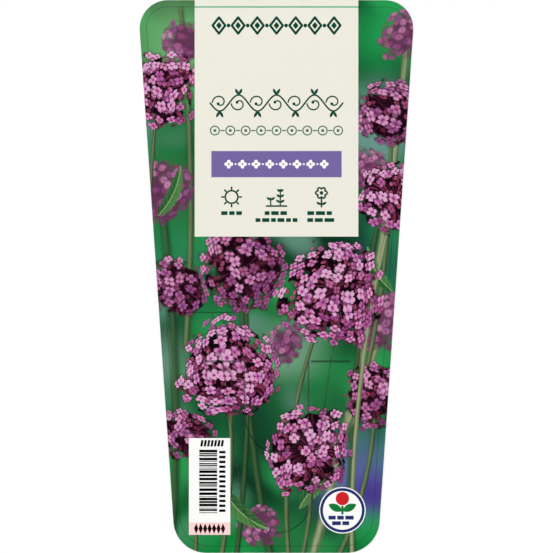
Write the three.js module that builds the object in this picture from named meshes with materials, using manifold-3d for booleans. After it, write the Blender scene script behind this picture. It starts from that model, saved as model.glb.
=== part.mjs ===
// Plant label: one die-cut sheet of white polypropylene, printed on its front, flat as it leaves the cutter.
//
// The outline tapers from a wide head down to a narrower foot, with rounded corners. Two U-shaped cuts in the
// lower half, one inside the other, free a large and a small tongue, each still joined to the sheet at its
// root. In use the foot hangs outside a flower pot, while the tongue that suits the pot goes down inside its
// wall. Two pairs of short creases beside the roots let the sheet bend over the pot's rim.
//
// Sizes are in millimetres. The label lies on its back: X runs across it, Y towards its head, and Z up, from
// the back at 0 to the printed front. The origin is the middle of the back face's bounding box.

import * as THREE from 'three';
import { mergeVertices } from 'three/addons/utils/BufferGeometryUtils.js';
import Module from 'manifold-3d';

// Sheet
const height = 219;
const headWidth = 110; // between the sides, where they would meet the head's straight edge
const footWidth = 80; // likewise at the foot's edge
const thickness = 0.5;
const headRadius = 11.3;
const footRadius = 13.3;

// Tongues, as the middle lines of their cuts
const cutWidth = 0.1; // left open by the cutting rule
const largeRootBelowHead = 123.7;
const largeRootWidth = 51;
const largeWidth = 42.9; // where the small tongue's root is, and its sides turn a little
const largeTipRadius = 13.7;
const largeTipAboveFoot = 8;
const smallRootBelowHead = 143.1;
const smallWidth = 25.4;
const smallStraightBelowHead = 163; // where its sides start to round in
const smallTipBelowHead = 179.2;

// Creases, V-shaped and pressed into the front, one on each side of the middle
const creaseWidth = 0.8;
const creaseDepth = 0.07;
const creases = [
  { belowHead: largeRootBelowHead, from: 15.8, to: 35.7 },
  { belowHead: smallRootBelowHead, from: smallWidth / 2, to: 30.2 },
];

const arcSegments = 24;
const overshoot = 1; // how far a cutting tool reaches past the sheet

const wasm = await Module();
wasm.setup();

// A y coordinate from a distance measured down from the head's edge.
const fromHead = (distance) => height / 2 - distance;

// Outline: two straight tapering sides, with an arc in each corner that is tangent to both of its edges.
function outlineShape() {
  const taper = Math.atan((headWidth - footWidth) / 2 / height);
  const sideAt = (y) => (headWidth + footWidth) / 4 + y * Math.tan(taper);
  const headArc = { y: height / 2 - headRadius };
  headArc.x = sideAt(headArc.y) - headRadius / Math.cos(taper);
  const footArc = { y: footRadius - height / 2 };
  footArc.x = sideAt(footArc.y) - footRadius / Math.cos(taper);

  const shape = new THREE.Shape();
  shape.absarc(footArc.x, footArc.y, footRadius, -Math.PI / 2, -taper);
  shape.absarc(headArc.x, headArc.y, headRadius, -taper, Math.PI / 2);
  shape.absarc(-headArc.x, headArc.y, headRadius, Math.PI / 2, Math.PI + taper);
  shape.absarc(-footArc.x, footArc.y, footRadius, Math.PI + taper, 1.5 * Math.PI);
  shape.closePath();
  return shape;
}

// The large tongue's cut, from its left root round to its right one. The sides lean in, and more so above the
// small tongue's root than below it, where they are tangent to the round tip.
function largeTongueCut() {
  const tipY = largeTipAboveFoot + largeTipRadius - height / 2;
  const length = fromHead(smallRootBelowHead) - tipY;
  const reach = Math.hypot(largeWidth / 2, length);
  const lean = Math.acos(largeTipRadius / reach) - Math.atan2(length, largeWidth / 2);
  const path = new THREE.Path();
  path.moveTo(-largeRootWidth / 2, fromHead(largeRootBelowHead));
  path.lineTo(-largeWidth / 2, fromHead(smallRootBelowHead));
  path.absarc(0, tipY, largeTipRadius, Math.PI + lean, 2 * Math.PI - lean);
  path.lineTo(largeWidth / 2, fromHead(smallRootBelowHead));
  path.lineTo(largeRootWidth / 2, fromHead(largeRootBelowHead));
  return path.getPoints(arcSegments);
}

// The small tongue's cut: straight down each side, and round an elliptical tip.
function smallTongueCut() {
  const tipDepth = smallTipBelowHead - smallStraightBelowHead;
  const path = new THREE.Path();
  path.moveTo(-smallWidth / 2, fromHead(smallRootBelowHead));
  path.lineTo(-smallWidth / 2, fromHead(smallStraightBelowHead));
  path.absellipse(
    0, fromHead(smallStraightBelowHead), smallWidth / 2, tipDepth, Math.PI, 2 * Math.PI,
  );
  path.lineTo(smallWidth / 2, fromHead(smallRootBelowHead));
  return path.getPoints(arcSegments);
}

// A cut's outline: half the cut's width to each side of the points of its middle line.
function cutShape(line) {
  const side = (offset) => line.map((point, i) => {
    const before = line[Math.max(i - 1, 0)];
    const after = line[Math.min(i + 1, line.length - 1)];
    const across = after.clone().sub(before).normalize().rotateAround(new THREE.Vector2(), Math.PI / 2);
    return point.clone().addScaledVector(across, offset);
  });
  return new THREE.Shape([...side(-cutWidth / 2), ...side(cutWidth / 2).reverse()]);
}

// A crease's tool: a prism with a shallow V as its lower side, lying along X from one place to another.
function creaseGeometry(belowHead, from, to) {
  const profile = new THREE.Shape([
    new THREE.Vector2(-creaseWidth / 2, 0),
    new THREE.Vector2(0, -creaseDepth),
    new THREE.Vector2(creaseWidth / 2, 0),
    new THREE.Vector2(creaseWidth / 2, overshoot),
    new THREE.Vector2(-creaseWidth / 2, overshoot),
  ]);
  const geometry = new THREE.ExtrudeGeometry(profile, { depth: to - from, bevelEnabled: false });
  // The profile's own x and y become Y and Z, and the extrusion runs along X.
  const alongX = new THREE.Matrix4().makeBasis(
    new THREE.Vector3(0, 1, 0),
    new THREE.Vector3(0, 0, 1),
    new THREE.Vector3(1, 0, 0),
  );
  geometry.applyMatrix4(alongX);
  geometry.translate(from, fromHead(belowHead), thickness);
  return geometry;
}

// Turns a closed three.js geometry into a solid that can be cut.
function solidFrom(geometry) {
  const bare = geometry.index ? geometry.toNonIndexed() : geometry.clone();
  bare.deleteAttribute('normal');
  bare.deleteAttribute('uv');
  const merged = mergeVertices(bare, 1e-5);
  const mesh = new wasm.Mesh({
    numProp: 3,
    vertProperties: new Float32Array(merged.attributes.position.array),
    triVerts: new Uint32Array(merged.index.array),
  });
  mesh.merge();
  return new wasm.Manifold(mesh);
}

// Turns a cut solid back into a three.js geometry with flat faces.
function geometryFrom(solid) {
  const { vertProperties, triVerts } = solid.getMesh();
  const indexed = new THREE.BufferGeometry();
  indexed.setAttribute('position', new THREE.BufferAttribute(new Float32Array(vertProperties), 3));
  indexed.setIndex(new THREE.BufferAttribute(new Uint32Array(triVerts), 1));
  const geometry = indexed.toNonIndexed();
  geometry.computeVertexNormals();
  return geometry;
}

// The sheet: its outline, less the tongues' cuts and the creases.
function labelSheet() {
  const options = { depth: thickness, bevelEnabled: false, curveSegments: arcSegments };
  let sheet = solidFrom(new THREE.ExtrudeGeometry(outlineShape(), options));
  const through = { ...options, depth: thickness + 2 * overshoot };
  for (const line of [largeTongueCut(), smallTongueCut()]) {
    const cut = new THREE.ExtrudeGeometry(cutShape(line), through).translate(0, 0, -overshoot);
    sheet = sheet.subtract(solidFrom(cut));
  }
  for (const { belowHead, from, to } of creases) {
    sheet = sheet.subtract(solidFrom(creaseGeometry(belowHead, from, to)));
    sheet = sheet.subtract(solidFrom(creaseGeometry(belowHead, -to, -from)));
  }
  const printedPlastic = new THREE.MeshStandardMaterial({
    color: 0x8a8f86,
    roughness: 0.35,
    metalness: 0,
  });
  const mesh = new THREE.Mesh(geometryFrom(sheet), printedPlastic);
  mesh.name = 'label_sheet';
  return mesh;
}

const plantLabel = new THREE.Group();
plantLabel.add(labelSheet());

export default plantLabel;
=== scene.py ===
import math
import random

import bmesh
import bpy
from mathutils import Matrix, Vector
from mathutils.geometry import delaunay_2d_cdt


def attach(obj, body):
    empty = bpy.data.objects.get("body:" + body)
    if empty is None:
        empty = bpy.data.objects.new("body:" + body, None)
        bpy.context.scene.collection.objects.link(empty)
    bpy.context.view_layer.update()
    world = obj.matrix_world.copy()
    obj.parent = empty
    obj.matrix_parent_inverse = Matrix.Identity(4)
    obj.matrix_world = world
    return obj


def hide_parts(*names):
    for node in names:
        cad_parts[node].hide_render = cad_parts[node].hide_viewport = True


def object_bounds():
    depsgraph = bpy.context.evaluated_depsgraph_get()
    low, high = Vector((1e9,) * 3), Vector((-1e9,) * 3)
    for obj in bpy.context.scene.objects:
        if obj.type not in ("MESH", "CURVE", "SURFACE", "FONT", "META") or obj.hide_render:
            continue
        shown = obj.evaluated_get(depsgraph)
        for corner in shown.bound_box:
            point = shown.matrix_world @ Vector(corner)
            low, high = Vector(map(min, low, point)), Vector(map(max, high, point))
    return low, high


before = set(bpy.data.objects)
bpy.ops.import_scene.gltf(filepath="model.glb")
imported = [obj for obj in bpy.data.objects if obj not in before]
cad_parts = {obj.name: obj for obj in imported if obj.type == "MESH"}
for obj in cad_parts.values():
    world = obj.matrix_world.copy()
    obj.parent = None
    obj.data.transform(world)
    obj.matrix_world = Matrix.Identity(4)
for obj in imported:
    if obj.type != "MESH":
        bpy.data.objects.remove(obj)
cad_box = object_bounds()


# ---------------------------------------------------------------------------------------------------------
# Studio. The label lies on a pale table, and the camera looks straight down on its printed front through a
# long lens. Four soft boxes stand round the table, and a dark card above the camera keeps the varnish from
# mirroring white.

LENS = 100.0
SENSOR = 36.0
FRAME_MARGIN = 1.0  # the height that the camera takes in, in label heights

low, high = cad_box
centre = (low + high) / 2
camera = bpy.data.objects.new("camera", bpy.data.cameras.new("camera"))
camera.data.lens = LENS
camera.data.sensor_width = SENSOR
camera.location = (centre.x, centre.y, high.z + (high.y - low.y) * FRAME_MARGIN * LENS / SENSOR)
bpy.context.scene.collection.objects.link(camera)
bpy.context.scene.camera = camera
bpy.context.scene.view_settings.view_transform = "Standard"

BOX_DISTANCE = 0.9
BOX_HEIGHT = 0.75
BOX_WIDTH = 0.7
# side, direction in degrees, watts
SOFT_BOXES = [("head", 90, 5.7), ("foot", -90, 4.9), ("left", 180, 5.7), ("right", 0, 4.9)]

for side, turn, watts in SOFT_BOXES:
    lamp = bpy.data.lights.new("soft_box_" + side, "AREA")
    lamp.energy = watts
    lamp.size = BOX_WIDTH
    light = bpy.data.objects.new(lamp.name, lamp)
    direction = Vector((math.cos(math.radians(turn)), math.sin(math.radians(turn)), 0))
    light.location = direction * BOX_DISTANCE + Vector((0, 0, BOX_HEIGHT))
    light.rotation_euler = (-light.location).to_track_quat("-Z", "Y").to_euler()
    bpy.context.scene.collection.objects.link(light)

CARD_EDGE = (0.55, 0.95)  # how steeply one looks up where the dark card begins, and where it is full
SKY_LIGHT = 0.42
CARD_LIGHT = 0.015

world = bpy.data.worlds.new("studio")
world.use_nodes = True
bpy.context.scene.world = world
sky = world.node_tree
bearing = sky.nodes.new("ShaderNodeTexCoord")
height_of_ray = sky.nodes.new("ShaderNodeSeparateXYZ")
shade = sky.nodes.new("ShaderNodeMapRange")
shade.interpolation_type = "SMOOTHSTEP"
shade.inputs["From Min"].default_value = CARD_EDGE[0]
shade.inputs["From Max"].default_value = CARD_EDGE[1]
shade.inputs["To Min"].default_value = SKY_LIGHT
shade.inputs["To Max"].default_value = CARD_LIGHT
sky.links.new(bearing.outputs["Generated"], height_of_ray.inputs[0])
sky.links.new(height_of_ray.outputs["Z"], shade.inputs["Value"])
sky.links.new(shade.outputs[0], sky.nodes["Background"].inputs["Color"])

TABLE_SIZE = 3.0
TABLE_GAP = 0.00002  # the label's back lies this far over the table

table = bmesh.new()
bmesh.ops.create_grid(table, x_segments=1, y_segments=1, size=TABLE_SIZE / 2)
table_mesh = bpy.data.meshes.new("table_top")
table.to_mesh(table_mesh)
table.free()
table_top = bpy.data.objects.new("table_top", table_mesh)
table_top.location.z = low.z - TABLE_GAP
bpy.context.scene.collection.objects.link(table_top)
white_table = bpy.data.materials.new("white_table")
white_table.use_nodes = True
matt = white_table.node_tree.nodes["Principled BSDF"]
matt.inputs["Base Color"].default_value = (0.9, 0.9, 0.895, 1)
matt.inputs["Roughness"].default_value = 0.85
matt.inputs["Specular IOR Level"].default_value = 0.2
table_mesh.materials.append(white_table)


# ---------------------------------------------------------------------------------------------------------
# Plastic sheet. One piece of white polypropylene, die-cut to a tapering outline with round corners. Two
# U-shaped cuts, one inside the other, free tongues that hook over a pot's rim, and shallow creases beside
# their roots let the sheet bend. Its bare front lies two passes of ink below the label's full thickness.

MM = 0.001
HEIGHT = (high.y - low.y) / MM
THICKNESS = (high.z - low.z) / MM
HEAD_WIDTH = 110.0  # between the straight sides, where they would meet the head's edge
FOOT_WIDTH = 80.0
HEAD_RADIUS = 11.3
FOOT_RADIUS = 13.3
TAPER = math.atan((HEAD_WIDTH - FOOT_WIDTH) / 2 / HEIGHT)
INK_PASS = 0.02
SHEET_FRONT = THICKNESS - 2 * INK_PASS
CUT_WIDTH = 0.1
LARGE_ROOT_Y = HEIGHT / 2 - 123.7
LARGE_ROOT_WIDTH = 51.0
LARGE_WIDTH = 42.9  # at the small tongue's root, where its sides turn a little
LARGE_TIP_RADIUS = 13.7
LARGE_TIP_Y = 8.0 + LARGE_TIP_RADIUS - HEIGHT / 2  # centre of the round tip
SMALL_ROOT_Y = HEIGHT / 2 - 143.1
SMALL_WIDTH = 25.4
SMALL_STRAIGHT_Y = HEIGHT / 2 - 163.0  # where its sides start to round in
SMALL_TIP_Y = HEIGHT / 2 - 179.2
LARGE_LENGTH = SMALL_ROOT_Y - LARGE_TIP_Y
LARGE_REACH = math.hypot(LARGE_WIDTH / 2, LARGE_LENGTH)
# how far its lower sides lean inwards, so that they meet the round tip smoothly
LEAN = math.acos(LARGE_TIP_RADIUS / LARGE_REACH) - math.atan2(LARGE_LENGTH, LARGE_WIDTH / 2)
CREASE_WIDTH = 0.8
CREASE_DEPTH = 0.07
CREASES = [(LARGE_ROOT_Y, 15.8, 35.7), (SMALL_ROOT_Y, SMALL_WIDTH / 2, 30.2)]  # y, and both ends' distances
EDGE_ROLL = 0.06  # the die's rounding of the outer edges; the tongues' cuts stay sharp
ARC_STEPS = 32
ON_LINE = 1e-4  # points closer than this to a line are taken to be on it
WELD = 1e-6  # and points closer than this to each other are one
WHOLE_FACES = 4  # asks the triangulator for faces without holes in them, each with the outlines it lies in


def arc(x, y, radius, start, end, steps=ARC_STEPS):
    """Points along an arc between two angles in radians."""
    turns = (start + (end - start) * k / steps for k in range(steps + 1))
    return [(x + radius * math.cos(a), y + radius * math.sin(a)) for a in turns]


def label_outline(inset=0.0):
    """The label's outline, drawn in by an inset, counterclockwise from the foot's right corner."""
    head_y = HEIGHT / 2 - HEAD_RADIUS
    foot_y = FOOT_RADIUS - HEIGHT / 2
    middle = (HEAD_WIDTH + FOOT_WIDTH) / 4
    head_x = middle + head_y * math.tan(TAPER) - HEAD_RADIUS / math.cos(TAPER)
    foot_x = middle + foot_y * math.tan(TAPER) - FOOT_RADIUS / math.cos(TAPER)
    quarter = math.pi / 2
    return (
        arc(foot_x, foot_y, FOOT_RADIUS - inset, -quarter, -TAPER)
        + arc(head_x, head_y, HEAD_RADIUS - inset, -TAPER, quarter)
        + arc(-head_x, head_y, HEAD_RADIUS - inset, quarter, 2 * quarter + TAPER)
        + arc(-foot_x, foot_y, FOOT_RADIUS - inset, 2 * quarter + TAPER, 3 * quarter)
    )


def large_cut():
    """The middle line of the large tongue's cut, from its left root round to its right one."""
    return [
        (-LARGE_ROOT_WIDTH / 2, LARGE_ROOT_Y),
        (-LARGE_WIDTH / 2, SMALL_ROOT_Y),
        *arc(0, LARGE_TIP_Y, LARGE_TIP_RADIUS, math.pi + LEAN, 2 * math.pi - LEAN),
        (LARGE_WIDTH / 2, SMALL_ROOT_Y),
        (LARGE_ROOT_WIDTH / 2, LARGE_ROOT_Y),
    ]


def small_cut():
    """The middle line of the small tongue's cut, which has straight sides and an elliptical tip."""
    half, depth = SMALL_WIDTH / 2, SMALL_STRAIGHT_Y - SMALL_TIP_Y
    tip = [(half * x, SMALL_STRAIGHT_Y + depth * y) for x, y in arc(0, 0, 1, math.pi, 2 * math.pi)]
    return [(-half, SMALL_ROOT_Y), *tip, (half, SMALL_ROOT_Y)]


def cut_shape(line):
    """The thin outline of a cut, half its width to each side of its middle line."""
    outer, inner = [], []
    for k, (x, y) in enumerate(line):
        before, after = Vector(line[max(k - 1, 0)]), Vector(line[min(k + 1, len(line) - 1)])
        along = (after - before).normalized() * CUT_WIDTH / 2
        outer.append((x + along.y, y - along.x))
        inner.append((x - along.y, y + along.x))
    return outer + inner[::-1]


def crease_shapes(y, start, end):
    """The sloping sides and run-outs of a pair of creases, as flat polygons that meet on the bottoms."""
    near, far = start + CREASE_WIDTH, end - CREASE_WIDTH
    shapes = []
    for across, side in ((1, 1), (-1, 1), (-1, -1), (1, -1)):
        rim = y + side * CREASE_WIDTH / 2
        for part in (
            [(near, y), (far, y), (far, rim), (near, rim)],
            [(far, y), (end, y), (far, rim)],
            [(start, y), (near, y), (near, rim)],
        ):
            mirrored = [(across * corner_x, corner_y) for corner_x, corner_y in part]
            shapes.append(mirrored[:: across * side])
    return shapes


def depth_of_creases(x, y):
    """How far below the front the sheet's surface is: only the bottom lines of the creases are lower."""
    for crease_y, start, end in CREASES:
        from_middle = abs(abs(x) - (start + end) / 2)
        if abs(y - crease_y) < ON_LINE and from_middle < (end - start) / 2 - CREASE_WIDTH + ON_LINE:
            return CREASE_DEPTH
    return 0.0


def plate(name, shapes, bottom, top, cuts=(), sink=None):
    """A flat closed body in millimetres: its shapes merged, less the cuts. sink lowers its top in places."""
    outlines = [*shapes, *cuts]
    corners = [Vector(corner) for outline in outlines for corner in outline]
    ends = [sum(map(len, outlines[:k])) for k in range(len(outlines) + 1)]
    loops = [list(range(*span)) for span in zip(ends, ends[1:])]
    places, _, faces, _, _, owners = delaunay_2d_cdt(corners, [], loops, WHOLE_FACES, WELD)
    body = bmesh.new()
    lower = [body.verts.new((x * MM, y * MM, bottom * MM)) for x, y in places]
    sunk = [sink(x, y) if sink else 0 for x, y in places]
    upper = [body.verts.new((x * MM, y * MM, (top - drop) * MM)) for (x, y), drop in zip(places, sunk)]
    kept = [face for face, owner in zip(faces, owners) if owner and max(owner) < len(shapes)]
    sides = {(a, b) for face in kept for a, b in zip(face, face[1:] + face[:1])}
    for face in kept:
        body.faces.new([upper[k] for k in face])
        body.faces.new([lower[k] for k in reversed(face)])
    for a, b in sides:
        if (b, a) not in sides:
            body.faces.new([upper[a], lower[a], lower[b], upper[b]])
    bmesh.ops.delete(body, geom=[v for v in body.verts if not v.link_faces], context="VERTS")
    mesh = bpy.data.meshes.new(name)
    body.to_mesh(mesh)
    body.free()
    piece = bpy.data.objects.new(name, mesh)
    bpy.context.scene.collection.objects.link(piece)
    return piece


crease_parts = [shape for crease in CREASES for shape in crease_shapes(*crease)]
sheet = plate(
    "plastic_sheet",
    [label_outline(), *crease_parts],
    0.0,
    SHEET_FRONT,
    cuts=[cut_shape(large_cut()), cut_shape(small_cut())],
    sink=depth_of_creases,
)


def in_cut(place):
    """Whether a point of the sheet's walls, in metres, is on a tongue's cut and not on the outer edge."""
    side, end = LARGE_ROOT_WIDTH / 2 + 1, HEIGHT / 2 - 5
    return abs(place.x) < side * MM and abs(place.y) < end * MM


SHARP = math.radians(50)

rolled = bmesh.new()
rolled.from_mesh(sheet.data)
sharp = [edge for edge in rolled.edges if edge.calc_face_angle() > SHARP and not in_cut(edge.verts[0].co)]
bmesh.ops.bevel(
    rolled, geom=sharp, offset=EDGE_ROLL * MM, segments=2, profile=0.5, affect="EDGES", clamp_overlap=False
)
rolled.to_mesh(sheet.data)
rolled.free()
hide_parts("label_sheet")
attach(sheet, "root")

FACES_UP = 0.6  # a face whose normal rises more than this is the front's, and one that falls so the back's
PRINTED, PLAIN, EDGE, SLIT = range(4)  # the sheet's finishes: front, back, outer edge, and the cuts

for face in sheet.data.polygons:
    if face.normal.z > FACES_UP:
        face.material_index = PRINTED
    elif face.normal.z < -FACES_UP:
        face.material_index = PLAIN
    else:
        face.material_index = SLIT if in_cut(face.center) else EDGE


# ---------------------------------------------------------------------------------------------------------
# Satin varnish. A clear coat rolled over all the print: its gloss wanders a little, it has a fine
# orange-peel skin, and the sheet under it is never quite flat. Every ink and the bare plastic share it.


class Field:
    """A value that varies over a surface. Arithmetic on it adds the Math nodes that work it out."""

    def __init__(self, socket):
        self.socket = socket

    def worked(self, node, operation, others, gives):
        """What a node makes of this and the other values."""
        made = self.socket.id_data.nodes.new(node)
        made.operation = operation
        for socket, value in zip(made.inputs, (self, *others)):
            feed(value, socket)
        return Field(made.outputs[gives])

    def maths(self, operation, *others):
        return self.worked("ShaderNodeMath", operation, others, 0)

    def vector(self, operation, *others, gives="Vector"):
        return self.worked("ShaderNodeVectorMath", operation, others, gives)

    def times(self, amount):
        """This vector made longer or shorter by a plain amount or a field."""
        scaled = self.vector("SCALE")
        feed(amount, scaled.socket.node.inputs["Scale"])
        return scaled

    def part(self, *axis):
        """How much of this vector lies along an axis."""
        return self.vector("DOT_PRODUCT", axis, gives="Value")

    def step(self, start, end):
        """0 where this is at start or before it, 1 at end or past it, and smooth between."""
        made = self.socket.id_data.nodes.new("ShaderNodeMapRange")
        made.interpolation_type = "SMOOTHSTEP"
        feed(self, made.inputs["Value"])
        feed(start, made.inputs["From Min"])
        feed(end, made.inputs["From Max"])
        return Field(made.outputs[0])

    def __add__(self, other):
        return self.maths("ADD", other)

    def __sub__(self, other):
        return self.maths("SUBTRACT", other)

    def __mul__(self, other):
        return self.maths("MULTIPLY", other)

    def __truediv__(self, other):
        return self.maths("DIVIDE", other)

    def __pow__(self, other):
        return self.maths("POWER", other)

    def __lt__(self, other):
        return self.maths("LESS_THAN", other)

    def __abs__(self):
        return self.maths("ABSOLUTE")

    def opposite(self):
        """One less this."""
        return (self * -1.0) + 1.0


def feed(value, socket):
    """Links a field to a socket, or sets the socket to a plain value."""
    if isinstance(value, Field):
        socket.id_data.links.new(value.socket, socket)
    else:
        socket.default_value = value


def blend(tree, share, below, above, kind="RGBA", way="MIX"):
    """below where share is 0 and above where it is 1, for colours or vectors."""
    made = tree.nodes.new("ShaderNodeMix")
    made.data_type = kind
    made.blend_type = way
    first, out = {"RGBA": (6, 2), "VECTOR": (4, 1), "FLOAT": (2, 0)}[kind]  # the node's sockets of this kind
    feed(share, made.inputs[0])
    feed(below, made.inputs[first])
    feed(above, made.inputs[first + 1])
    return Field(made.outputs[out])


def noise(tree, place, scale, detail=2.0, gives="Fac"):
    """Soft random clouds of about 1 / scale across."""
    made = tree.nodes.new("ShaderNodeTexNoise")
    feed(place, made.inputs["Vector"])
    made.inputs["Scale"].default_value = scale
    made.inputs["Detail"].default_value = detail
    return Field(made.outputs[gives])


def new_group(name, takes, gives):
    """A shader node group with named sockets. Returns it, its inputs as fields, and its output sockets."""
    tree = bpy.data.node_groups.new(name, "ShaderNodeTree")
    for way, sockets in (("INPUT", takes), ("OUTPUT", gives)):
        for title, kind in sockets.items():
            tree.interface.new_socket(title, in_out=way, socket_type="NodeSocket" + kind)
    entry = tree.nodes.new("NodeGroupInput")
    fields = {socket.name: Field(socket) for socket in entry.outputs if socket.name}
    return tree, fields, tree.nodes.new("NodeGroupOutput").inputs


def use_group(tree, group, **values):
    """Places a group in a material and returns its outputs as fields, by name."""
    made = tree.nodes.new("ShaderNodeGroup")
    made.node_tree = group
    for title, value in values.items():
        feed(value, made.inputs[title])
    return {socket.name: Field(socket) for socket in made.outputs}


def sheet_place(tree):
    """Where a point is on the sheet, in millimetres from its middle, with no height."""
    made = tree.nodes.new("ShaderNodeTexCoord")
    return Field(made.outputs["Object"]).vector("MULTIPLY", (1 / MM, 1 / MM, 0))


varnish, takes, gives = new_group(
    "varnish",
    {"Place": "Vector", "Roughness": "Float", "Peel": "Float"},
    {"Roughness": "Float", "Height": "Float", "Ink": "Float"},
)
patches = noise(varnish, takes["Place"], 0.11, 3.0)
grain = noise(varnish, takes["Place"], 2.4, 2.0)
wave = noise(varnish, takes["Place"], 0.022, 1.0)
feed(takes["Roughness"] * (patches * 0.2 + 0.9), gives["Roughness"])
feed(wave * 0.35 + grain * takes["Peel"], gives["Height"])
feed(patches * 0.004 + grain * 0.02 + 0.988, gives["Ink"])


def printed(name, colour, roughness=0.25, peel=0.0022):
    """A varnished ink. colour is a plain colour, or a function that paints one in the material's tree."""
    material = bpy.data.materials.new(name)
    material.use_nodes = True
    tree = material.node_tree
    plastic = tree.nodes["Principled BSDF"]
    place = sheet_place(tree)
    coat = use_group(tree, varnish, Place=place, Roughness=roughness, Peel=peel)
    paint = colour(tree, place) if callable(colour) else colour
    feed(blend(tree, 1.0, paint, coat["Ink"], way="MULTIPLY"), plastic.inputs["Base Color"])
    feed(coat["Roughness"], plastic.inputs["Roughness"])
    plastic.inputs["Specular IOR Level"].default_value = 0.3
    bump = tree.nodes.new("ShaderNodeBump")
    bump.inputs["Distance"].default_value = MM
    feed(coat["Height"], bump.inputs["Height"])
    tree.links.new(bump.outputs["Normal"], plastic.inputs["Normal"])
    return material


PAPER_WHITE = 0.9  # of the light, the share that unprinted white gives back


def ink(red, green, blue):
    """A colour given as it shows in print, from 0 to 255 a channel."""
    shown = (red / 255, green / 255, blue / 255)
    light = (c / 12.92 if c < 0.04 else ((c + 0.055) / 1.055) ** 2.4 for c in shown)
    return (*(PAPER_WHITE * c for c in light), 1.0)


# ---------------------------------------------------------------------------------------------------------
# Printed ground. The picture's far distance, a garden out of focus: greens that drift into teal, with a few
# pale and violet patches where something flowers far behind. It is printed under the rest of the picture.

ground, takes, gives = new_group("soft_ground", {"Place": "Vector"}, {"Color": "Color"})
broad = noise(ground, takes["Place"], 0.017, 1.0)
drift = noise(ground, takes["Place"].vector("ADD", (140, 60, 0)), 0.03, 1.0)
green = blend(ground, broad.step(0.36, 0.6), ink(6, 50, 28), ink(34, 116, 62))
green = blend(ground, drift.step(0.5, 0.68), green, ink(44, 156, 82))
feed(blend(ground, drift.step(0.47, 0.3), green, ink(92, 138, 120)), gives["Color"])

patch, takes, gives = new_group(
    "soft_patch",
    {"Below": "Color", "Place": "Vector", "Centre": "Vector", "Size": "Vector", "Colour": "Color"},
    {"Color": "Color"},
)
away = takes["Place"].vector("SUBTRACT", takes["Centre"]).vector("DIVIDE", takes["Size"])
share = away.vector("LENGTH", gives="Value").step(1.0, 0.0) * 0.85
feed(blend(patch, share, takes["Below"], takes["Colour"]), gives["Color"])

# centre, half width and half height, colour
PATCHES = [
    ((-40, 92), (30, 34), ink(112, 172, 112)),
    ((42, 96), (24, 26), ink(26, 152, 78)),
    ((42, 62), (22, 24), ink(112, 152, 148)),
    ((44, 4), (24, 42), ink(32, 92, 74)),
    ((-40, 2), (24, 30), ink(40, 128, 84)),
    ((33, -80), (30, 27), ink(92, 96, 160)),
    ((37, -86), (13, 13), ink(72, 46, 140)),
    ((-14, -60), (36, 36), ink(16, 66, 42)),
    ((-24, -104), (36, 26), ink(14, 138, 60)),
    ((42, -106), (24, 18), ink(12, 142, 62)),
    ((4, -30), (22, 17), ink(124, 164, 136)),
    ((-44, -34), (14, 20), ink(104, 146, 122)),
    ((30, -22), (12, 30), ink(10, 66, 36)),
]


def paint_ground(tree, place):
    colour = use_group(tree, ground, Place=place)["Color"]
    for middle, size, tint in PATCHES:
        colour = use_group(
            tree, patch, Below=colour, Place=place, Centre=(*middle, 0), Size=(*size, 1), Colour=tint
        )["Color"]
    return colour


# ---------------------------------------------------------------------------------------------------------
# Printed stems and leaves. Slender stems lean across the picture, some of them far out of focus, each with a
# lit and a shaded side. The leaves are lances with a toothed edge, a midrib and side veins.

STRAND_TAKES = {
    "Below": "Color",
    "Place": "Vector",
    "From": "Vector",
    "To": "Vector",
    "Bow": "Float",
    "Width": "Float",
    "Softness": "Float",
    "Streak": "Float",
    "Shade": "Color",
    "Light": "Color",
}


def along_and_aside(takes):
    """How far a point is along a bowed strand, from 0 to 1, and how far to its side."""
    span = takes["To"].vector("SUBTRACT", takes["From"])
    reach = takes["Place"].vector("SUBTRACT", takes["From"])
    length = span.vector("LENGTH", gives="Value")
    along = reach.vector("DOT_PRODUCT", span, gives="Value") / (length * length)
    aside = reach.vector("CROSS_PRODUCT", span).part(0, 0, 1) / length
    return along, aside - takes["Bow"] * along * along.opposite() * 4.0


stem, takes, gives = new_group("stem", STRAND_TAKES, {"Color": "Color"})
along, aside = along_and_aside(takes)
half = takes["Width"] * (along * -0.35 + 1.15)
within = abs(along - 0.5).step(0.5, 0.48)
mask = (half - abs(aside)).step(takes["Softness"] * -1.0, takes["Softness"]) * within
round_shade = abs(aside / half + 0.25).step(0.1, 1.1) * 0.8 + takes["Streak"] * 0.5 - 0.1
bark = blend(stem, round_shade, takes["Light"], takes["Shade"])
feed(blend(stem, mask, takes["Below"], bark), gives["Color"])

leaf, takes, gives = new_group("leaf", STRAND_TAKES, {"Color": "Color"})
along, aside = along_and_aside(takes)
belly = (along * along.opposite() * 4.0).maths("MAXIMUM", 0.0001) ** 0.7 * (along * -0.5 + 1.2)
teeth = (along * 11.0).maths("FRACT") * -0.16 + 1.0
half = takes["Width"] * belly * teeth
within = abs(along - 0.5).step(0.5, 0.49)
mask = (half - abs(aside)).step(takes["Softness"] * -1.0, takes["Softness"]) * within
side = abs(aside) / takes["Width"]
vein = abs((along * 9.0 - side * 1.6).maths("FRACT") - 0.5).step(0.0, 0.16).opposite() * 0.35
rib = side.step(0.12, 0.03)
tone = aside.step(-0.3, 0.3) * 0.45 + side * 0.25 + along * 0.15 + takes["Streak"] * 0.3 - 0.15
blade = blend(leaf, tone.maths("ADD", vein), takes["Shade"], takes["Light"])
blade = blend(leaf, rib * 0.7, blade, ink(150, 176, 120))
feed(blend(leaf, mask, takes["Below"], blade), gives["Color"])

OLIVE = (ink(38, 58, 32), ink(108, 128, 86))
PALE_OLIVE = (ink(84, 104, 70), ink(158, 166, 126))
DEEP_GREEN = (ink(16, 44, 24), ink(62, 96, 56))
LEAF_GREEN = (ink(26, 78, 42), ink(86, 142, 76))

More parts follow.
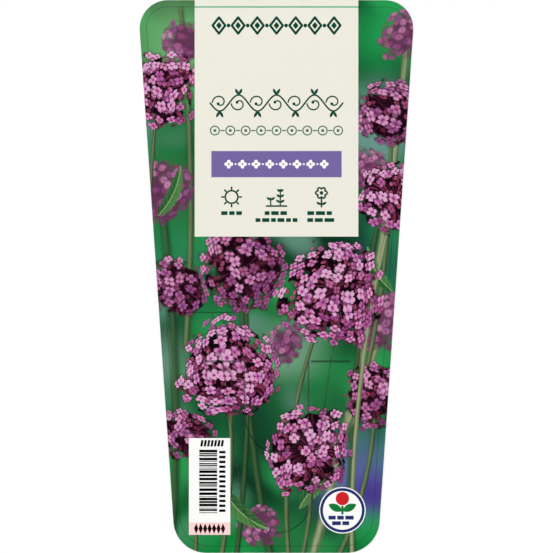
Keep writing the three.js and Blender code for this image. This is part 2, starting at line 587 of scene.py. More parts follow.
# from, to, bow, half width, softness, colours
FAR_STEMS = [
    ((-42, -112), (-46, 34), 4.0, 1.5, 1.5, DEEP_GREEN),
    ((-2, -112), (-14, 10), -3.0, 1.3, 1.1, DEEP_GREEN),
    ((14, -112), (52, 96), 5.0, 1.4, 1.3, PALE_OLIVE),
    ((30, -112), (40, 20), -4.0, 1.2, 0.9, DEEP_GREEN),
    ((-36, -30), (-38, 108), 3.0, 1.1, 0.9, OLIVE),
    ((16, -80), (42, -18), 3.0, 1.3, 1.4, PALE_OLIVE),
]
MIDDLE_STEMS = [
    ((-16, -112), (-13, 4), 3.0, 0.95, 0.45, DEEP_GREEN),
    ((24, -112), (39, -46), 4.0, 0.95, 0.4, OLIVE),
    ((30, -60), (45, 66), 5.0, 0.9, 0.5, OLIVE),
    ((-32, -112), (-36, -66), 1.5, 0.8, 0.4, OLIVE),
]
NEAR_STEMS = [
    ((-22, -112), (-20, -34), 3.0, 0.95, 0.18, OLIVE),
    ((5, -112), (22, -6), -7.0, 0.9, 0.2, OLIVE),
    ((10, -112), (13, -66), 2.0, 0.85, 0.16, OLIVE),
    ((30, -112), (47, 30), -5.0, 0.8, 0.2, PALE_OLIVE),
    ((-50, -10), (-46, 76), -2.0, 0.75, 0.2, OLIVE),
]
LEAVES = [
    ((-21, -84), (-3, -100), 2.5, 3.6, 0.2, LEAF_GREEN),
    ((9, -92), (24, -80), -2.5, 3.2, 0.2, LEAF_GREEN),
    ((-47, 24), (-38, 44), 2.0, 2.9, 0.2, LEAF_GREEN),
    ((46, -6), (36, 12), -2.0, 2.8, 0.2, LEAF_GREEN),
]


def paint_strands(tree, place, colour, group, strands):
    streak = noise(tree, place.vector("MULTIPLY", (1.1, 0.09, 1.0)), 1.0, 1.0)
    for start, end, bow, width, softness, (shade_colour, light_colour) in strands:
        colour = use_group(
            tree,
            group,
            Below=colour,
            Place=place,
            From=(*start, 0),
            To=(*end, 0),
            Bow=bow,
            Width=width,
            Softness=softness,
            Streak=streak,
            Shade=shade_colour,
            Light=light_colour,
        )["Color"]
    return colour


# ---------------------------------------------------------------------------------------------------------
# Printed flower heads. Domes of small four-petalled florets over dark calyxes and buds, packed in layers,
# foreshortened towards each dome's rim and lit from the upper left. Some are sharp, some a little behind the
# focus, and some only soft colour.

DOME_SQUEEZE = 0.4  # how much closer the florets stand at a dome's rim
DOME_EDGE = 1.75  # past this squared distance, in squared radii, a dome has no more florets

dome, takes, gives = new_group(
    "dome",
    {
        "Place": "Vector",
        "Centre": "Vector",
        "Size": "Float",
        "Pitch": "Float",
        "Seed": "Vector",
        "Spot": "Vector",
        "Home": "Vector",
        "Nearest": "Float",
    },
    {"Spot": "Vector", "Home": "Vector", "Nearest": "Float"},
)
from_centre = takes["Place"].vector("SUBTRACT", takes["Centre"])
squared = from_centre.vector("DOT_PRODUCT", from_centre, gives="Value") / (takes["Size"] * takes["Size"])
inside = squared < takes["Nearest"]
spot = from_centre.times((squared * DOME_SQUEEZE + 1.0) / takes["Pitch"]).vector("ADD", takes["Seed"])
reach = takes["Size"] / takes["Pitch"] * (1 + DOME_SQUEEZE)
joined = dome.nodes.new("ShaderNodeCombineXYZ")
feed(reach, joined.inputs["Z"])  # a dome's middle carries its radius as its height
home = Field(joined.outputs[0]).vector("ADD", takes["Seed"])
feed(blend(dome, inside, takes["Spot"], spot, kind="VECTOR"), gives["Spot"])
feed(blend(dome, inside, takes["Home"], home, kind="VECTOR"), gives["Home"])
feed(squared.maths("MINIMUM", takes["Nearest"]), gives["Nearest"])


def dome_distance(spot, home):
    """A point's place in its dome, in dome radii, and its distance from the dome's middle."""
    reach = home.part(0, 0, 1)
    offset = spot.vector("SUBTRACT", home).vector("MULTIPLY", (1, 1, 0)).times(reach ** -1.0)
    return offset, offset.vector("LENGTH", gives="Value")


calyx, takes, gives = new_group(
    "calyx",
    {
        "Below": "Color",
        "Spot": "Vector",
        "Home": "Vector",
        "Shade": "Color",
        "Light": "Color",
        "Blur": "Float",
    },
    {"Color": "Color"},
)
offset, distance = dome_distance(takes["Spot"], takes["Home"])
ragged = noise(calyx, takes["Spot"], 0.9, 2.0)
body = (distance + ragged * 1.5).step(takes["Blur"] + 1.5, takes["Blur"] * -1.0 + 1.4)
outward = offset.vector("NORMALIZE").times(5.0).vector("ADD", offset.times(1.4)).vector("ADD", takes["Home"])
fibre = noise(calyx, outward, 1.5, 3.0).step(0.46, 0.68)
fibre = fibre * noise(calyx, takes["Spot"], 0.5, 1.0).step(0.3, 0.62)
tufts = blend(calyx, fibre, takes["Shade"], takes["Light"])
feed(blend(calyx, body, takes["Below"], tufts), gives["Color"])

# the petals' highlight and two colours, their rich shade, the throat, and the dark gap round a floret
PALETTE = ("Light", "Pink", "Lilac", "Rich", "Throat", "Gap")

florets, takes, gives = new_group(
    "florets",
    {
        "Below": "Color",
        "Spot": "Vector",
        "Home": "Vector",
        "Shift": "Vector",
        "Reach": "Float",
        "Share": "Float",
        "Radius": "Float",
        "Petals": "Float",
        "Blur": "Float",
        "Depth": "Float",
        "Fray": "Float",
        **dict.fromkeys(PALETTE, "Color"),
    },
    {"Color": "Color"},
)
shifted = takes["Spot"].vector("ADD", takes["Shift"])
cells = florets.nodes.new("ShaderNodeTexVoronoi")
cells.voronoi_dimensions = "2D"
cells.inputs["Scale"].default_value = 1.0
cells.inputs["Randomness"].default_value = 0.6
feed(shifted, cells.inputs["Vector"])
heart = Field(cells.outputs["Position"]).vector("SUBTRACT", takes["Shift"])
dice = Field(cells.outputs["Color"])
chance, twist, size_chance = dice.part(1, 0, 0), dice.part(0, 1, 0), dice.part(0, 0, 1)
offset, distance = dome_distance(heart, takes["Home"])
clump = noise(florets, heart, 0.66, 1.0)
in_reach = distance < chance * 0.2 + clump * 0.4 + takes["Reach"]
present = in_reach * (twist < takes["Share"] * clump.step(0.33, 0.46))
arm = takes["Spot"].vector("SUBTRACT", heart)
tilt_way = dice.vector("SUBTRACT", (0.5, 0.5, 0.5)).vector("MULTIPLY", (1, 1, 0)).vector("NORMALIZE")
tilt = arm.vector("DOT_PRODUCT", tilt_way, gives="Value") * (size_chance * 0.4)
arm = tilt_way.times(tilt).vector("ADD", arm)
turn = arm.part(0, 1, 0).maths("ARCTAN2", arm.part(1, 0, 0)) + twist * math.tau
lobe = abs((turn * takes["Petals"] * 0.5).maths("COSINE"))
radius = takes["Radius"] * (size_chance * 0.34 + 0.8)
lopsided = (turn + chance * 9.0).maths("COSINE") * 0.12 + 1.0
notched = lobe ** 0.6 * 0.7 + 0.3 - lobe.step(0.9, 1.0) * 0.1
outline = radius * lopsided * notched * (takes["Fray"] * 0.5 + 0.75)
out = arm.vector("LENGTH", gives="Value")
mask = (outline - out).step(takes["Blur"] * -1.0, takes["Blur"]) * present
halo = (out - outline).step(0.3, 0.0) * present
lit = offset.vector("DOT_PRODUCT", (-0.22, 0.3, 0), gives="Value") + 1.0 - distance * distance * 0.3
tone = takes["Depth"] * lit * (chance * 0.6 + 0.72) * (clump * 0.9 + 0.55)
petal = tone * ((out / outline).step(0.1, 0.9) * 0.45 + lobe.step(0.0, 0.7) * 0.3 + takes["Fray"] * 0.5)
fresh = blend(florets, size_chance, takes["Pink"], takes["Lilac"])
colour = blend(florets, petal, takes["Rich"], fresh)
colour = blend(florets, petal.step(0.6, 1.3), colour, takes["Light"])
throat_share = (out / radius).step(0.27, 0.12) * (takes["Blur"] * -5.0 + 1.0)
colour = blend(florets, throat_share, colour, takes["Throat"])
shaded = blend(florets, halo * 0.6, takes["Below"], takes["Gap"])
feed(blend(florets, mask, shaded, colour), gives["Color"])

LAYER_SHIFTS = [(0.0, 0.0), (3.47, 1.31), (7.19, 5.73), (2.83, 8.41), (6.67, 3.29)]

# centre, radius
FAR_HEADS = [
    ((-46, 34), 13),
    ((36, 42), 10),
    ((52, 96), 11),
    ((-6, -99), 9),
    ((42, -18), 12),
    ((-36, 94), 9),
    ((4, -26), 8),
]
MIDDLE_HEADS = [((-13, 3), 18), ((39, -46), 15), ((-40, -4), 13), ((45, 66), 14), ((-36, -64), 12)]
NEAR_HEADS = [((23, -6), 22.5), ((-20, -36), 21), ((13, -69), 19), ((-46, 75), 17), ((47, 31), 16)]


def paint_heads(tree, place, colour, heads, pitch, sway, haze, layers, calyx_colours):
    """Paints domes of florets over colour. sway bends the domes out of round, haze softens their calyxes."""
    for scale, amount in ((0.036, 1.0), (0.1, 0.3)):
        pull = noise(tree, place, scale, 0.0, gives="Color").vector("SUBTRACT", (0.5, 0.5, 0.5))
        place = place.vector("ADD", pull.vector("MULTIPLY", (amount * sway, amount * sway, 0)))
    spot, home, nearest = (99.0, 99.0, 0.0), (0.0, 0.0, 1.0), DOME_EDGE  # far from every dome
    for number, (middle, size) in enumerate(heads):
        seed = (31.0 * number + pitch, 17.0 * number + 5.0, 0)
        chosen = use_group(
            tree,
            dome,
            Place=place,
            Centre=(*middle, 0),
            Size=size,
            Pitch=pitch,
            Seed=seed,
            Spot=spot,
            Home=home,
            Nearest=nearest,
        )
        spot, home, nearest = chosen["Spot"], chosen["Home"], chosen["Nearest"]
    fray = noise(tree, spot, 5.0, 1.0)
    shade_colour, light_colour = calyx_colours
    colour = use_group(
        tree, calyx, Below=colour, Spot=spot, Home=home, Shade=shade_colour, Light=light_colour, Blur=haze
    )["Color"]
    for shift, (fineness, reach, share, radius, petals, depth, blur, palette) in zip(LAYER_SHIFTS, layers):
        colour = use_group(
            tree,
            florets,
            Below=colour,
            Spot=spot.times(fineness),
            Home=home.times(fineness),
            Shift=(*shift, 0),
            Reach=reach,
            Share=share,
            Radius=radius,
            Petals=petals,
            Blur=blur,
            Depth=depth,
            Fray=fray,
            **palette,
        )["Color"]
    return colour


def palette(*colours):
    return dict(zip(PALETTE, (ink(*colour) for colour in colours)))


BRIGHT = palette((220, 166, 202), (236, 136, 194), (206, 114, 192), (108, 16, 70), (92, 4, 62), (24, 0, 14))
FADED = palette((216, 148, 190), (196, 102, 156), (164, 92, 158), (84, 20, 60), (54, 12, 40), (24, 2, 18))
BUDS = palette((196, 100, 136), (150, 46, 86), (118, 46, 76), (52, 2, 28), (34, 0, 16), (12, 0, 6))


# ---------------------------------------------------------------------------------------------------------
# Keyline, crease shade and cut lines. A thin line of darker ink runs a little way inside the label's edge.
# Painted shade darkens the print along the creases, where their slopes fall in shade, and the print is also
# darker along the tongues' cuts.

KEYLINE_INSET = 2.75
KEYLINE_WIDTH = 0.22
KEYLINE_DARKNESS = 0.5
LINE_CORE = 0.3  # the share of a line's width that is evenly dark
# half width and darkness of the painted crease shade and of the cut lines, for the large and the small tongue
CREASE_SHADE_LINES = ((0.42, 0.54), (0.64, 0.68))
CUT_LINES = ((0.4, 0.45), (0.4, 0.7))

keyline_and_crease_shade, takes, gives = new_group("keyline_and_crease_shade", {"Below": "Color", "Place": "Vector"}, {"Color": "Color"})
x, y = abs(takes["Place"].part(1, 0, 0)), takes["Place"].part(0, 1, 0)
corner = (y < 0.0) * (FOOT_RADIUS - HEAD_RADIUS) + HEAD_RADIUS
to_side = (x - y * math.tan(TAPER) - (HEAD_WIDTH + FOOT_WIDTH) / 4) * math.cos(TAPER) + corner
to_end = abs(y) - HEIGHT / 2 + corner
round_x, round_y = to_side.maths("MAXIMUM", 0.0), to_end.maths("MAXIMUM", 0.0)
beyond = (round_x * round_x + round_y * round_y) ** 0.5 - corner
inset = beyond + to_side.maths("MAXIMUM", to_end).maths("MINIMUM", 0.0)
mask = abs(inset + KEYLINE_INSET).step(KEYLINE_WIDTH * 0.75, KEYLINE_WIDTH * 0.35) * KEYLINE_DARKNESS

# painted shade along the bottom of each crease, where its slopes fall in shade
for (crease_y, start, end), (width, darkness) in zip(CREASES, CREASE_SHADE_LINES):
    half_length = (end - start) / 2
    in_length = abs(x - (start + end) / 2).step(half_length, half_length - 2 * CREASE_WIDTH)
    mask = mask.maths("MAXIMUM", abs(y - crease_y).step(width, width * LINE_CORE) * in_length * darkness)

flare = (LARGE_ROOT_WIDTH - LARGE_WIDTH) / 2 / (LARGE_ROOT_Y - SMALL_ROOT_Y)
upper_side = (x - LARGE_WIDTH / 2 - (y - SMALL_ROOT_Y) * flare) * math.cos(math.atan(flare))
tip_y = y - LARGE_TIP_Y
lower_side = tip_y * -math.sin(LEAN) + x * math.cos(LEAN) - LARGE_TIP_RADIUS
round_tip = (x * x + tip_y * tip_y) ** 0.5 - LARGE_TIP_RADIUS
in_tip = x * math.sin(LEAN) + tip_y * math.cos(LEAN) < 0.0
beside_large = blend(keyline_and_crease_shade, in_tip, lower_side, round_tip, kind="FLOAT")
beside_large = blend(keyline_and_crease_shade, y < SMALL_ROOT_Y, upper_side, beside_large, kind="FLOAT")
on_large = y < LARGE_ROOT_Y

tip_x = x / (SMALL_WIDTH / 2)
tip_y = (y - SMALL_STRAIGHT_Y).maths("MINIMUM", 0.0) / (SMALL_STRAIGHT_Y - SMALL_TIP_Y)
beside_small = ((tip_x * tip_x + tip_y * tip_y) ** 0.5 - 1.0) * (SMALL_WIDTH / 2)
on_small = y < SMALL_ROOT_Y

tongues = ((beside_large, on_large), (beside_small, on_small))
for (beside, on_tongue), (width, darkness) in zip(tongues, CUT_LINES):
    mask = mask.maths("MAXIMUM", abs(beside).step(width, width * LINE_CORE) * on_tongue * darkness)
feed(blend(keyline_and_crease_shade, mask, takes["Below"], ink(14, 30, 26)), gives["Color"])


# ---------------------------------------------------------------------------------------------------------
# Printed picture. All of the picture's layers, from the far ground to the near heads, in the one coat of ink
# that covers the sheet's front. The sheet's back and outer edge are bare plastic, and the walls of the
# tongues' cuts are dark, painted shade that keeps the slits dark.

PANEL_SIDE = 32.4  # of the cream panel, which covers part of the picture
PANEL_BLEED = 0.4  # how far the picture's coat is cream along the head's rolled edge, over the panel's width
CREAM = ink(237, 235, 222)

# fineness, reach, share, radius, petals, brightness, blur and colours of each layer, the deepest first
FAR_LAYERS = [
    (1.0, 0.58, 0.9, 0.3, 0, 0.6, 0.3, FADED),
    (1.0, 0.58, 0.8, 0.3, 0, 0.85, 0.3, FADED),
    (1.0, 0.58, 0.6, 0.3, 0, 1.1, 0.25, FADED),
]
MIDDLE_LAYERS = [
    (1.7, 0.46, 0.8, 0.34, 0, 0.8, 0.12, BUDS),
    (1.0, 0.58, 0.85, 0.45, 4, 0.75, 0.12, FADED),
    (1.0, 0.58, 0.7, 0.45, 4, 1.1, 0.1, FADED),
]
NEAR_LAYERS = [
    (1.9, 0.48, 0.8, 0.32, 0, 1.0, 0.06, BUDS),
    (1.15, 0.56, 0.7, 0.42, 4, 0.48, 0.1, BRIGHT),
    (1.05, 0.58, 0.65, 0.44, 4, 0.78, 0.07, BRIGHT),
    (1.0, 0.58, 0.6, 0.45, 4, 1.15, 0.05, BRIGHT),
    (1.0, 0.58, 0.55, 0.46, 4, 1.4, 0.04, BRIGHT),
]
FAR_CALYX = (ink(92, 50, 78), ink(112, 62, 94))
MIDDLE_CALYX = (ink(24, 0, 14), ink(104, 40, 64))
NEAR_CALYX = (ink(14, 0, 8), ink(152, 62, 96))

# pitch of the florets, sway of the domes, haze of the calyxes
FAR_SPREAD = (4.6, 7.0, 0.3)
MIDDLE_SPREAD = (5.8, 8.0, 0.1)
NEAR_SPREAD = (6.6, 10.0, 0.03)


def paint_picture(tree, place):
    colour = paint_ground(tree, place)
    colour = paint_strands(tree, place, colour, stem, FAR_STEMS)
    colour = paint_heads(tree, place, colour, FAR_HEADS, *FAR_SPREAD, FAR_LAYERS, FAR_CALYX)
    colour = paint_strands(tree, place, colour, stem, MIDDLE_STEMS)
    colour = paint_strands(tree, place, colour, leaf, LEAVES)
    colour = paint_heads(tree, place, colour, MIDDLE_HEADS, *MIDDLE_SPREAD, MIDDLE_LAYERS, MIDDLE_CALYX)
    colour = paint_strands(tree, place, colour, stem, NEAR_STEMS)
    colour = paint_heads(tree, place, colour, NEAR_HEADS, *NEAR_SPREAD, NEAR_LAYERS, NEAR_CALYX)
    colour = use_group(tree, keyline_and_crease_shade, Below=colour, Place=place)["Color"]
    across, along = abs(place.part(1, 0, 0)), place.part(0, 1, 0)
    bleed = (across < PANEL_SIDE) * (along.opposite() < PANEL_BLEED + 1.0 - HEIGHT / 2)
    return blend(tree, bleed, colour, CREAM)


sheet.data.materials.append(printed("printed_picture", paint_picture))
sheet.data.materials.append(printed("white_plastic", ink(247, 247, 243), roughness=0.5, peel=0.004))
sheet.data.materials.append(printed("cut_plastic", ink(232, 232, 228), roughness=0.6, peel=0.004))
# the tongues' cuts get dark walls: painted shade, so that the slits read as dark lines
sheet.data.materials.append(printed("cut_painted_shade", ink(52, 66, 56), roughness=0.6, peel=0.004))


# ---------------------------------------------------------------------------------------------------------
# Cream panel. A block of cream ink that hangs from the head's edge and covers the picture, so that the rest
# of the print stands out on it. It is a film on the sheet's front, the first pass of ink.

FIRST_PASS = (SHEET_FRONT, SHEET_FRONT + INK_PASS)
SECOND_PASS = (SHEET_FRONT + INK_PASS, THICKNESS)
PANEL_FOOT_Y = 15.8
PANEL_LINE = 0.5  # the keyline is bolder where it crosses the cream


def rectangle(left, bottom, right, top):
    return [(left, bottom), (right, bottom), (right, top), (left, top)]


def film(name, shapes, ink_pass, material):
    """A thin layer of ink with the given outlines."""
    piece = plate(name, shapes, *ink_pass)
    piece.data.materials.append(material)
    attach(piece, "root")


film(
    "cream_panel",
    [rectangle(-PANEL_SIDE, PANEL_FOOT_Y, PANEL_SIDE, HEIGHT / 2 - EDGE_ROLL)],
    FIRST_PASS,
    printed("cream_ink", CREAM),
)
line_y = HEIGHT / 2 - KEYLINE_INSET
film(
    "panel_keyline",
    [rectangle(-PANEL_SIDE, line_y - PANEL_LINE / 2, PANEL_SIDE, line_y + PANEL_LINE / 2)],
    SECOND_PASS,
    printed("keyline_ink", ink(70, 176, 130)),
)


# ---------------------------------------------------------------------------------------------------------
# Lozenge border. A row of framed lozenges near the panel's head, linked by small beads. It is printed in the
# dark green ink that most of the panel's drawings share.

BORDER_Y = 99.4
LOZENGES = 7
LOZENGE_PITCH = 7.6
LOZENGE_WIDTH = 5.0
LOZENGE_HEIGHT = 6.4
BEAD_RADIUS = 0.75
FRAME_WIDTH = 0.95
FILLING = 0.46  # the size of the solid lozenge in each frame, as a share of the frame's


def disc(x, y, radius, steps=16):
    return arc(x, y, radius, 0, math.tau * (1 - 1 / steps), steps - 1)


def lozenge(x, y, width, height):
    return [(x - width / 2, y), (x, y - height / 2), (x + width / 2, y), (x, y + height / 2)]


def stroke(points, width, closed=False):
    """The flat quadrilaterals of a line drawn through the points with a round pen."""
    pairs = list(zip(points, points[1:] + points[:1] if closed else points[1:]))
    shapes = []
    for (x0, y0), (x1, y1) in pairs:
        length = math.hypot(x1 - x0, y1 - y0)
        across, up = (y0 - y1) / length * width / 2, (x1 - x0) / length * width / 2
        right = [(x0 - across, y0 - up), (x1 - across, y1 - up)]
        left = [(x1 + across, y1 + up), (x0 + across, y0 + up)]
        shapes.append(right + left)
    return shapes + [disc(x, y, width / 2, 8) for x, y in points]


def row_of(count, pitch):
    """Places along a row that is centred on the label's middle line."""
    return [(k - (count - 1) / 2) * pitch for k in range(count)]


green_ink = printed("green_ink", ink(10, 70, 50))
border = []
for x in row_of(LOZENGES, LOZENGE_PITCH):
    border += stroke(lozenge(x, BORDER_Y, LOZENGE_WIDTH, LOZENGE_HEIGHT), FRAME_WIDTH, closed=True)
    border.append(lozenge(x, BORDER_Y, LOZENGE_WIDTH * FILLING, LOZENGE_HEIGHT * FILLING))
border += [disc(x, BORDER_Y, BEAD_RADIUS) for x in row_of(LOZENGES - 1, LOZENGE_PITCH)]
film("lozenge_border", border, SECOND_PASS, green_ink)


# ---------------------------------------------------------------------------------------------------------
# Vine scroll. A fine running vine across the panel in dark green, with a tendril curled into each bend and
# a pair of small leaves on the bend's back.

SCROLL_Y = 68.7
SCROLL_BENDS = 7
SCROLL_PITCH = 7.5
SCROLL_RISE = 3.2
SCROLL_LINE = 0.64
SCROLL_STEPS = 96
TENDRIL_RADIUS = 2.9
TENDRIL_STEPS = 24
TENDRIL_TURNS = 0.875
LEAF_STEPS = 9


def leaf_shape(x, y, length, width, angle):
    """A pointed leaf that grows from a point in a direction in radians."""
    shares = [k / LEAF_STEPS for k in range(LEAF_STEPS + 1)]
    half = [(length * share, width / 2 * math.sin(math.pi * share) ** 0.8) for share in shares]
    outline = [(along, -aside) for along, aside in half] + half[-2:0:-1]
    cos, sin = math.cos(angle), math.sin(angle)
    return [(x + u * cos - v * sin, y + u * sin + v * cos) for u, v in outline]


vine = []
for k in range(SCROLL_STEPS + 1):
    x = SCROLL_BENDS * SCROLL_PITCH * (k / SCROLL_STEPS - 0.5)
    vine.append((x, SCROLL_Y + SCROLL_RISE * math.cos(x / SCROLL_PITCH * math.pi)))
scroll = stroke(vine, SCROLL_LINE)
for bend, x in enumerate(row_of(SCROLL_BENDS, SCROLL_PITCH)):
    side = 1 if (bend - SCROLL_BENDS // 2) % 2 == 0 else -1
    tendril = []
    for k in range(TENDRIL_STEPS + 1):
        turn = math.pi + math.tau * TENDRIL_TURNS * k / TENDRIL_STEPS
        radius = TENDRIL_RADIUS * (1 - 0.7 * k / TENDRIL_STEPS)
        tendril.append((x + radius * math.cos(turn), SCROLL_Y + side * (radius * math.sin(turn) - 0.3)))
    scroll += stroke(tendril, SCROLL_LINE * 0.85)
    scroll.append(disc(*tendril[-1], 0.6, 12))
    for lean in (0.5, -0.5):
        scroll.append(leaf_shape(x, SCROLL_Y + side * SCROLL_RISE, 2.9, 1.1, side * math.pi / 2 + lean))
film("vine_scroll", scroll, SECOND_PASS, green_ink)


# ---------------------------------------------------------------------------------------------------------
# Ring row. Thin rings under the scroll, each with a dot in it, linked by short dashes. They are printed in
# a paler green than the panel's other drawings.

RING_Y = 57.8
RINGS = 9
RING_PITCH = 6.1
RING_RADIUS = 1.75
RING_LINE = 0.46
RING_DOT = 0.6
RING_LINK = 1.4

rings = []
for x in row_of(RINGS, RING_PITCH):
    rings += stroke(disc(x, RING_Y, RING_RADIUS, 20), RING_LINE, closed=True)
    rings.append(disc(x, RING_Y, RING_DOT, 10))
for x in row_of(RINGS - 1, RING_PITCH):
    rings += stroke([(x - RING_LINK / 2, RING_Y), (x + RING_LINK / 2, RING_Y)], RING_LINE)
film("ring_row", rings, SECOND_PASS, printed("pale_green_ink", ink(66, 112, 86)))


# ---------------------------------------------------------------------------------------------------------
# Violet band. A solid bar of violet ink across the panel, with a row of small four-petalled blossoms in white
# on it and a dot between each two.

BAND_SIDE = 25.8
BAND_BOTTOM = 39.3
BAND_TOP = 49.7
BLOSSOMS = 8
BLOSSOM_PITCH = 5.4
PETAL_RADIUS = 0.74
PETAL_REACH = 1.02
BLOSSOM_DOT = 0.4
BAND_PASS = (SHEET_FRONT + INK_PASS, SHEET_FRONT + 1.5 * INK_PASS)

band_y = (BAND_BOTTOM + BAND_TOP) / 2
blossoms = []
for x in row_of(BLOSSOMS, BLOSSOM_PITCH):
    for quarter in range(4):
        turn = quarter * math.pi / 2
        petal_x, petal_y = x + PETAL_REACH * math.cos(turn), band_y + PETAL_REACH * math.sin(turn)
        blossoms.append(disc(petal_x, petal_y, PETAL_RADIUS, 12))
blossoms += [disc(x, band_y, BLOSSOM_DOT, 10) for x in row_of(BLOSSOMS - 1, BLOSSOM_PITCH)]
violet_ink = printed("violet_ink", ink(118, 102, 162))
film("violet_band", [rectangle(-BAND_SIDE, BAND_BOTTOM, BAND_SIDE, BAND_TOP)], BAND_PASS, violet_ink)
white_ink = printed("white_ink", ink(252, 252, 250))
film("blossom_row", blossoms, (BAND_PASS[1], THICKNESS), white_ink)


# ---------------------------------------------------------------------------------------------------------
# Growing signs. Three small drawings in dark green: a sun, a seedling beside a taller plant, and a flower on
# its stem. Under each is a caption of plain dashes.

SIGN_Y = 31.5
SIGN_X = 17.8
SIGN_LINE = 0.66
SUN_RADIUS = 2.5
RAY_ENDS = (3.1, 3.85)
SOIL_Y = SIGN_Y - 3.6
SOIL_HALF = 4.0
FLOWER_Y = SIGN_Y + 1.6
CAPTION_Y = 25.1
CAPTION_PITCH = 2.75
CAPTION_HEIGHT = 1.48
CAPTIONS = [(-SIGN_X, (8.2,)), (0.0, (9.4, 16.6)), (SIGN_X, (11.2, 11.2))]  # middle, and each line's width
DASH_SHORTEST = 1.8
DASH_REST = 1.2  # a line ends once less than this is left of it

draw = random.Random(7)


def dashes(left, right, y, height, longest, gap):
    """Dashes of random lengths, one after the other along a line of a caption."""
    shapes = []
    while left < right - DASH_REST:
        end = min(left + draw.uniform(DASH_SHORTEST, longest), right)
        shapes.append(rectangle(left, y - height / 2, end, y + height / 2))
        left = end + gap
    return shapes


signs = stroke(disc(-SIGN_X, SIGN_Y, SUN_RADIUS, 24), SIGN_LINE, closed=True)
for ray in range(8):
    turn = ray * math.pi / 4
    ends = [(-SIGN_X + reach * math.cos(turn), SIGN_Y + reach * math.sin(turn)) for reach in RAY_ENDS]
    signs += stroke(ends, SIGN_LINE)

signs += stroke([(-SOIL_HALF, SOIL_Y), (SOIL_HALF, SOIL_Y)], SIGN_LINE)
for stem_x, stem_height, pairs in ((-2.3, 3.2, 1), (1.5, 6.6, 3)):
    signs += stroke([(stem_x, SOIL_Y), (stem_x, SOIL_Y + stem_height)], SIGN_LINE * 0.8)
    for pair in range(pairs):
        node_y = SOIL_Y + stem_height * (pair + 1) / pairs - 0.9
        for lean in (0.6, math.pi - 0.6):
            signs.append(leaf_shape(stem_x, node_y, 2.1 - 0.25 * pair, 0.95, lean))

petals = []
for k in range(48):
    turn = k * math.tau / 48
    reach = 1.55 + 0.75 * abs(math.cos(3 * turn))
    petals.append((SIGN_X + reach * math.cos(turn), FLOWER_Y + reach * math.sin(turn)))
signs += stroke(petals, SIGN_LINE, closed=True)
signs.append(disc(SIGN_X, FLOWER_Y, 0.75, 14))
signs += stroke([(SIGN_X, FLOWER_Y - 1.9), (SIGN_X, SIGN_Y - 3.9)], SIGN_LINE)
for lean in (0.45, math.pi - 0.45):
    signs.append(leaf_shape(SIGN_X, SIGN_Y - 3.1, 2.3, 1.0, lean))

for middle, widths in CAPTIONS:
    for line, width in enumerate(widths):
        y = CAPTION_Y - line * CAPTION_PITCH
        signs += dashes(middle - width / 2, middle + width / 2, y, CAPTION_HEIGHT, 4.0, 0.65)
film("growing_signs", signs, SECOND_PASS, green_ink)


# ---------------------------------------------------------------------------------------------------------
# Bar symbol. A white box with level bars of many widths, which stand for no number, a scale of ticks beside
# them, slanted marks above, and a pale pink strip with a row of dark lozenges below.

BOX_LEFT, BOX_BOTTOM, BOX_RIGHT, BOX_TOP = -34.7, -102.3, -18.3, -64.0
STRIP_TOP = -97.4
BARS_LEFT, BARS_BOTTOM, BARS_RIGHT, BARS_TOP = -30.6, -93.7, -23.5, -68.6
MODULE = 0.264  # the narrowest bar
TICKS = 13
TICK_LEFT, TICK_RIGHT = -22.7, -20.2
TICK_HEIGHT = 1.0
MARKS = 7  # both slanted ones and lozenges
SLANT_LEFT = -30.2
SLANT_PITCH = 1.35
LOZENGE_ROW_LEFT = BOX_LEFT + 2.9
LOZENGE_ROW_PITCH = 1.77

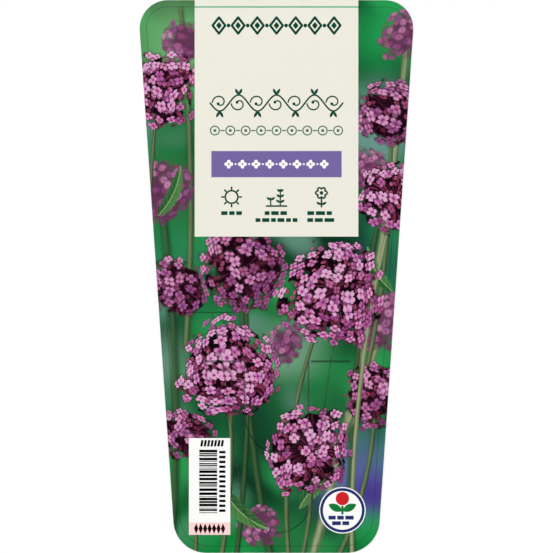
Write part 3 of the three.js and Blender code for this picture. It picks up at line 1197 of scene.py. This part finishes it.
bars = []
y = BARS_TOP
while y > BARS_BOTTOM:
    bar_height = min(draw.choice((1, 2, 3, 4)) * MODULE, y - BARS_BOTTOM)
    bars.append(rectangle(BARS_LEFT, y - bar_height, BARS_RIGHT, y))
    y -= bar_height + draw.choice((1, 1, 2, 2)) * MODULE
for k in range(TICKS):
    y = BARS_BOTTOM + (BARS_TOP - BARS_BOTTOM) * (k + 0.5) / TICKS
    bars.append(rectangle(TICK_LEFT, y - TICK_HEIGHT / 2, TICK_RIGHT, y + TICK_HEIGHT / 2))
for k in range(MARKS):
    x = SLANT_LEFT + SLANT_PITCH * k
    bars.append([(x, -67.3), (x + 0.9, -67.3), (x + 1.3, -64.8), (x + 0.4, -64.8)])
film("bar_box", [rectangle(BOX_LEFT, STRIP_TOP, BOX_RIGHT, BOX_TOP)], FIRST_PASS, white_ink)
film("bars", bars, SECOND_PASS, printed("black_ink", ink(10, 9, 10)))

strip = rectangle(BOX_LEFT, BOX_BOTTOM, BOX_RIGHT, STRIP_TOP)
film("pink_strip", [strip], FIRST_PASS, printed("pink_ink", ink(255, 214, 214)))
strip_y = (BOX_BOTTOM + STRIP_TOP) / 2
marks = [lozenge(LOZENGE_ROW_LEFT + LOZENGE_ROW_PITCH * k, strip_y, 1.72, 4.1) for k in range(MARKS)]
film("strip_marks", marks, SECOND_PASS, printed("maroon_ink", ink(38, 6, 10)))


# ---------------------------------------------------------------------------------------------------------
# Round badge. A white disc near the foot's right corner, with a navy ring, a green sprout that carries a red
# berry, and two lines of navy dashes under it.

BADGE_X = 26.1
BADGE_Y = -92.6
BADGE_RADIUS = 9.2
RING_INSET = 0.95
RING_WIDTH = 1.1
BERRY_RADIUS = 2.65

film("badge_disc", [disc(BADGE_X, BADGE_Y, BADGE_RADIUS, 72)], FIRST_PASS, white_ink)
navy = stroke(disc(BADGE_X, BADGE_Y, BADGE_RADIUS - RING_INSET, 64), RING_WIDTH, closed=True)
for line, width in ((0, 11.0), (1, 8.2)):
    y = BADGE_Y - 2.9 - 2.2 * line
    navy += dashes(BADGE_X - width / 2, BADGE_X + width / 2, y, 1.5, 3.6, 0.6)
film("badge_ring", navy, SECOND_PASS, printed("navy_ink", ink(36, 48, 108)))
sprout = stroke([(BADGE_X, BADGE_Y - 1.3), (BADGE_X, BADGE_Y + 1.5)], 0.9)
for lean in (0.45, math.pi - 0.45):
    sprout.append(leaf_shape(BADGE_X, BADGE_Y - 0.3, 6.1, 2.9, lean))
film("badge_sprout", sprout, SECOND_PASS, printed("leaf_ink", ink(20, 120, 56)))
berry = disc(BADGE_X, BADGE_Y + 4.65, BERRY_RADIUS, 48)
film("badge_berry", [berry], SECOND_PASS, printed("red_ink", ink(208, 34, 42)))
